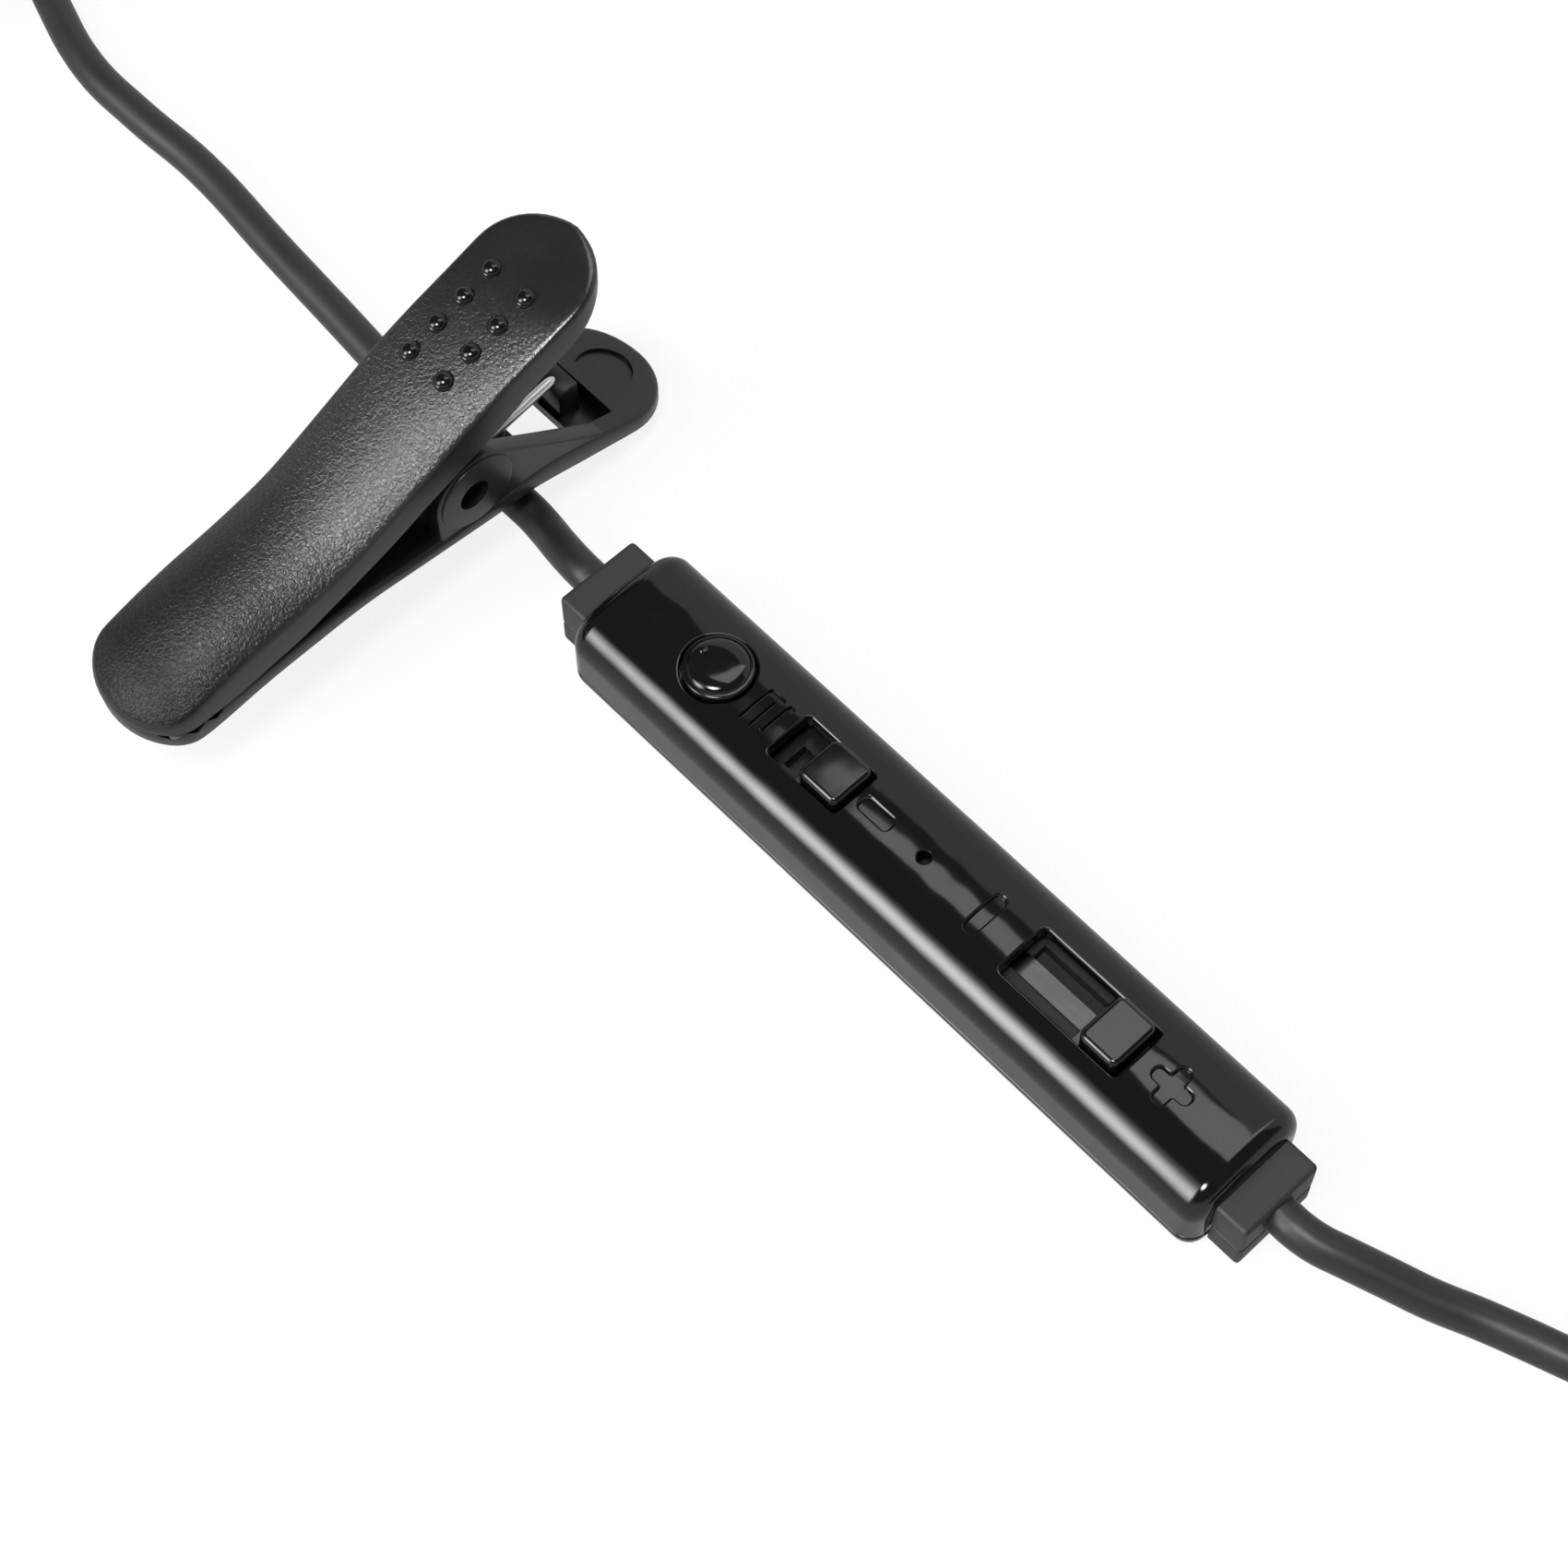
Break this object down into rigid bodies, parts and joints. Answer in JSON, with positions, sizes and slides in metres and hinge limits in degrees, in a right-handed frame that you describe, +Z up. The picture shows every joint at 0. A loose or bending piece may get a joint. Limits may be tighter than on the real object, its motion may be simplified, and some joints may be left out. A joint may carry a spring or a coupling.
{
  "type": "in-line lavalier microphone",
  "caption": "Slim in-line microphone remote with a call button, slide switches and a sprung lapel clip on a round cord that ends in a plug and a socket.",
  "frame": {"origin": "centre of the remote's flat underside", "axes": "+X along the remote towards the cord that carries the plug, +Z up through the face with the buttons, +Y towards the lapel clip's handles"},
  "size_m": [0.2442, 0.0535, 0.0195],
  "materials": {
    "gloss_black": "glossy black moulding of the box, button and slide knobs",
    "matte_black": "satin, finely grained black moulding",
    "cord_black": "smooth satin flexible cord jacket",
    "rubber_black": "matte soft rubber",
    "board_green": "lacquered board",
    "chip_black": "matte black moulded part",
    "ceramic": "fired ceramic body",
    "bright_steel": "plain drawn or pressed steel",
    "nickel": "bright nickel plate",
    "brass": "spring brass or copper",
    "white_plastic": "light moulded or insulated part"
  },
  "bodies": {
    "remote": {"amplifier_chip": "chip_black", "bias_resistor": "chip_black", "capacitor_1": "ceramic", "capacitor_2": "ceramic", "circuit_board": "board_green", "clip_coil_tie": "rubber_black", "clip_cord_coil": "cord_black", "clip_cord_ring": "matte_black", "clip_cord_run": "cord_black", "clip_cord_tail": "cord_black", "clip_side_lead_ground": "brass", "clip_side_lead_left": "white_plastic", "clip_side_lead_right": "white_plastic", "clip_side_stub": "matte_black", "dust_cloth": "rubber_black", "key_switch_body": "chip_black", "lower_shell": "gloss_black", "microphone_boot": "rubber_black", "microphone_capsule": "nickel", "mode_switch_frame": "bright_steel", "plug_coil_tie": "rubber_black", "plug_collar": "nickel", "plug_cord_coil": "cord_black", "plug_cord_run": "cord_black", "plug_cord_tail": "cord_black", "plug_grip": "matte_black", "plug_insulator_1": "chip_black", "plug_insulator_2": "chip_black", "plug_insulator_3": "chip_black", "plug_pole_1": "nickel", "plug_pole_2": "nickel", "plug_side_lead_ground": "brass", "plug_side_lead_left": "white_plastic", "plug_side_lead_microphone": "white_plastic", "plug_side_lead_right": "white_plastic", "plug_side_stub": "matte_black", "plug_sleeve": "nickel", "plug_tip": "nickel", "socket_bush": "nickel", "socket_contact_ring": "brass", "socket_contact_tip": "brass", "socket_insert": "chip_black", "socket_shell": "matte_black", "upper_shell": "gloss_black", "volume_cover_plate": "bright_steel", "volume_frame": "chip_black", "volume_track": "chip_black"},
    "button": {"call_button": "gloss_black", "key_switch_plunger": "white_plastic"},
    "mode_slider": {"mode_knob": "gloss_black", "mode_contact": "brass"},
    "volume_slider": {"volume_knob": "gloss_black", "volume_wiper": "brass"},
    "lower_lever": {"clip_lower_lever": "matte_black", "clip_pivot_pin": "bright_steel", "clip_spring": "bright_steel"},
    "upper_lever": {"clip_upper_lever": "matte_black"}
  },
  "joints": [
    {"name": "call_button_press", "type": "slide", "parent": "remote", "child": "button", "axis": [0, 0, -1], "range_m": [0, 0.00035], "stiffness_N_per_m": 800},
    {"name": "mode_slide", "type": "slide", "parent": "remote", "child": "mode_slider", "axis": [1, 0, 0], "range_m": [-0.0023, 0]},
    {"name": "volume_slide", "type": "slide", "parent": "remote", "child": "volume_slider", "axis": [1, 0, 0], "range_m": [-0.006, 0]},
    {"name": "clip_swivel", "type": "hinge", "parent": "remote", "child": "lower_lever", "pos_m": [-0.0419, 0.00135, 0.00135], "axis": [0, 0, 1], "range_deg": [-35, 35]},
    {"name": "clip_open", "type": "hinge", "parent": "lower_lever", "child": "upper_lever", "pos_m": [-0.0419, -0.003, 0.0083], "axis": [-1, 0, 0], "range_deg": [0, 22], "stiffness_Nm_per_rad": 0.05, "deforming": ["clip_spring"]}
  ]
}
